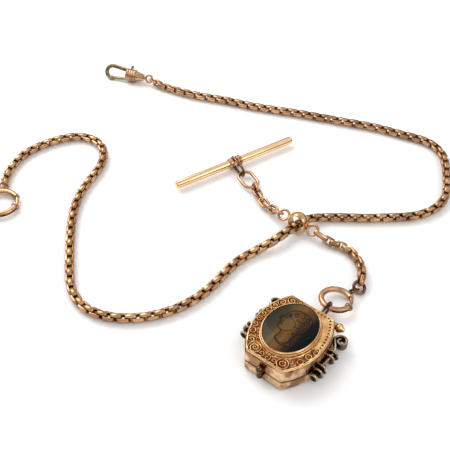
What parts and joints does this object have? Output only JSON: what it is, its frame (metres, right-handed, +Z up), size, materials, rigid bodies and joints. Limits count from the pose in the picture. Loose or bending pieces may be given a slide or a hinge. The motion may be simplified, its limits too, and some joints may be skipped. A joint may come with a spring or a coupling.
{
  "type": "pocket watch chain with locket fob",
  "caption": "Box-link watch chain with a running slide, T-bar, swivel clip, bolt rings and a hinged locket fob set with an oval carved stone.",
  "frame": {"origin": "middle of the locket's flat back, on the table plane", "axes": "+Z up from the table, +X to the right and +Y away from the viewer, as the chain lies"},
  "size_m": [0.1129, 0.1066, 0.0075],
  "materials": {
    "rose_gold": "worn polish",
    "yellow_gold": "polished",
    "dark_gold": "tarnished",
    "spring_steel": "plain",
    "stone": "polished stone",
    "window": "clear",
    "card": "matte card"
  },
  "bodies": {
    "chain_middle": {"chain_middle": "rose_gold"},
    "chain_left_run": {"chain_left_run": "rose_gold"},
    "chain_left_bend": {"chain_left_bend": "rose_gold"},
    "chain_left_end": {"chain_left_end": "rose_gold"},
    "chain_right_run": {"chain_right_run": "rose_gold"},
    "chain_right_bend": {"chain_right_bend": "rose_gold"},
    "chain_right_end": {"chain_right_end": "rose_gold"},
    "end_ring": {"end_ring_tube": "rose_gold", "end_ring_eye": "rose_gold"},
    "end_bolt": {"end_ring_bolt": "rose_gold", "end_ring_spring": "spring_steel"},
    "swivel_link": {"swivel_end_link": "rose_gold"},
    "swivel_eye": {"swivel_eye": "rose_gold"},
    "swivel": {"swivel_cone": "rose_gold", "swivel_hook": "dark_gold", "swivel_gate_pin": "spring_steel", "swivel_gate_spring": "spring_steel"},
    "gate": {"swivel_gate": "dark_gold"},
    "slide": {"slide_barrel": "yellow_gold", "slide_eye_upper": "rose_gold", "slide_eye_lower": "rose_gold"},
    "t_chain_near": {"t_chain_near": "rose_gold"},
    "t_chain_far": {"t_chain_far": "rose_gold"},
    "oval_ring": {"t_bar_oval_ring": "yellow_gold"},
    "bar_loop": {"t_bar_loop": "dark_gold"},
    "bar": {"t_bar_rod": "yellow_gold", "t_bar_collar_left": "dark_gold", "t_bar_collar_right": "dark_gold"},
    "fob_upper": {"fob_long_link": "rose_gold", "fob_chain_upper": "rose_gold"},
    "fob_lower": {"fob_chain_lower": "rose_gold", "fob_jump_ring": "dark_gold"},
    "fob_ring": {"fob_ring_tube": "rose_gold", "fob_ring_eye": "rose_gold"},
    "fob_bolt": {"fob_ring_bolt": "rose_gold", "fob_ring_spring": "spring_steel"},
    "locket": {"locket_base": "yellow_gold", "locket_hinge_pin": "spring_steel", "locket_finials": "rose_gold", "locket_bail": "dark_gold", "base_thumb_ball": "dark_gold", "scroll_left": "dark_gold", "scroll_right": "dark_gold", "picture_frame": "yellow_gold", "picture_glass": "window", "picture_card": "card"},
    "cover": {"locket_cover": "yellow_gold", "locket_border": "yellow_gold", "locket_bezel": "yellow_gold", "locket_stone": "stone", "cover_thumb_ball": "yellow_gold"}
  },
  "joints": [
    {"name": "left_run_bend", "type": "hinge", "parent": "chain_middle", "child": "chain_left_run", "pos_m": [-0.00875, 0.02402, 0.00116], "axis": [0, 0, 1], "range_deg": [-8, 8]},
    {"name": "left_bend_bend", "type": "hinge", "parent": "chain_left_run", "child": "chain_left_bend", "pos_m": [-0.04183, 0.01099, 0.00118], "axis": [0, 0, -1], "range_deg": [-8, 8]},
    {"name": "left_end_bend", "type": "hinge", "parent": "chain_left_bend", "child": "chain_left_end", "pos_m": [-0.04549, 0.04874, 0.00118], "axis": [0, 0, 1], "range_deg": [-8, 8]},
    {"name": "right_run_bend", "type": "hinge", "parent": "chain_middle", "child": "chain_right_run", "pos_m": [0.0198, 0.0369, 0.00118], "axis": [0, 0, -1], "range_deg": [-8, 8]},
    {"name": "right_bend_bend", "type": "hinge", "parent": "chain_right_run", "child": "chain_right_bend", "pos_m": [0.04207, 0.05886, 0.00118], "axis": [0, 0, 1], "range_deg": [-8, 8]},
    {"name": "right_end_bend", "type": "hinge", "parent": "chain_right_bend", "child": "chain_right_end", "pos_m": [0.00494, 0.07762, 0.00118], "axis": [0, 0, -1], "range_deg": [-8, 8]},
    {"name": "end_ring_swing", "type": "hinge", "parent": "chain_left_end", "child": "end_ring", "pos_m": [-0.06524, 0.04893, 0.00118], "axis": [-0.9058, -0.0316, 0.4226], "range_deg": [-20, 20]},
    {"name": "end_bolt_slide", "type": "hinge", "parent": "end_ring", "child": "end_bolt", "pos_m": [-0.065, 0.042, 0.00118], "axis": [0, 0, -1], "range_deg": [0, 51], "stiffness_Nm_per_rad": 0.0008},
    {"name": "swivel_link_swing", "type": "hinge", "parent": "chain_right_end", "child": "swivel_link", "pos_m": [-0.03126, 0.09075, 0.00146], "axis": [-0.3853, -0.7804, 0.4924], "range_deg": [-20, 20]},
    {"name": "swivel_eye_swing", "type": "hinge", "parent": "swivel_link", "child": "swivel_eye", "pos_m": [-0.03318, 0.09195, 0.00186], "axis": [-0.3853, -0.7804, 0.4924], "range_deg": [-20, 20]},
    {"name": "swivel_spin", "type": "hinge", "parent": "swivel_eye", "child": "swivel", "pos_m": [-0.0349, 0.0926, 0.0019], "axis": [-0.9455, 0.3256, 0], "continuous": true},
    {"name": "gate_swing", "type": "hinge", "parent": "swivel", "child": "gate", "pos_m": [-0.03858, 0.09359, 0.00159], "axis": [0.2494, 0.7243, -0.6428], "range_deg": [0, 22], "stiffness_Nm_per_rad": 0.0015},
    {"name": "slide_run", "type": "slide", "parent": "chain_middle", "child": "slide", "axis": [-0.7348, -0.6783, 0], "range_m": [0, 0.0042]},
    {"name": "t_chain_swing", "type": "hinge", "parent": "slide", "child": "t_chain_near", "pos_m": [0.00016, 0.03721, 0.00263], "axis": [-0.5484, -0.6703, -0.5], "range_deg": [-10, 10]},
    {"name": "t_chain_bend", "type": "hinge", "parent": "t_chain_near", "child": "t_chain_far", "pos_m": [-0.00386, 0.04331, 0.00124], "axis": [0.8527, 0.4539, 0.2587], "range_deg": [-15, 15]},
    {"name": "oval_ring_swing", "type": "hinge", "parent": "t_chain_far", "child": "oval_ring", "pos_m": [-0.00527, 0.04767, 0.0011], "axis": [-0.8704, -0.4924, 0], "range_deg": [-15, 15]},
    {"name": "bar_loop_swing", "type": "hinge", "parent": "oval_ring", "child": "bar_loop", "pos_m": [-0.00812, 0.05271, 0.00136], "axis": [0.8704, 0.4924, 0], "range_deg": [-15, 15]},
    {"name": "bar_spin", "type": "hinge", "parent": "bar_loop", "child": "bar", "pos_m": [-0.00973, 0.05646, 0.00162], "axis": [0.8517, 0.524, 0], "continuous": true},
    {"name": "long_link_swing", "type": "hinge", "parent": "slide", "child": "fob_upper", "pos_m": [0.00821, 0.03056, 0.0026], "axis": [0.5837, 0.6402, 0.4995], "range_deg": [-10, 10]},
    {"name": "fob_lower_bend", "type": "hinge", "parent": "fob_upper", "child": "fob_lower", "pos_m": [0.01654, 0.02377, 0.00111], "axis": [0, 0, 1], "range_deg": [-6, 6]},
    {"name": "fob_ring_swing", "type": "hinge", "parent": "fob_lower", "child": "fob_ring", "pos_m": [0.01553, 0.0154, 0.00107], "axis": [-0.5084, 0.579, -0.6374], "range_deg": [-15, 15]},
    {"name": "fob_bolt_slide", "type": "hinge", "parent": "fob_ring", "child": "fob_bolt", "pos_m": [0.0107, 0.01194, 0.00177], "axis": [-0.0755, -0.0956, -0.9925], "range_deg": [0, 59], "stiffness_Nm_per_rad": 0.0008},
    {"name": "locket_swing", "type": "hinge", "parent": "fob_ring", "child": "locket", "pos_m": [0.00878, 0.0095, 0.00215], "axis": [-0.7848, 0.6198, 0], "range_deg": [-30, 60]},
    {"name": "cover_open", "type": "hinge", "parent": "locket", "child": "cover", "pos_m": [0.00579, 0.00734, 0.0027], "axis": [-0.7848, 0.6198, 0], "range_deg": [0, 90]}
  ]
}
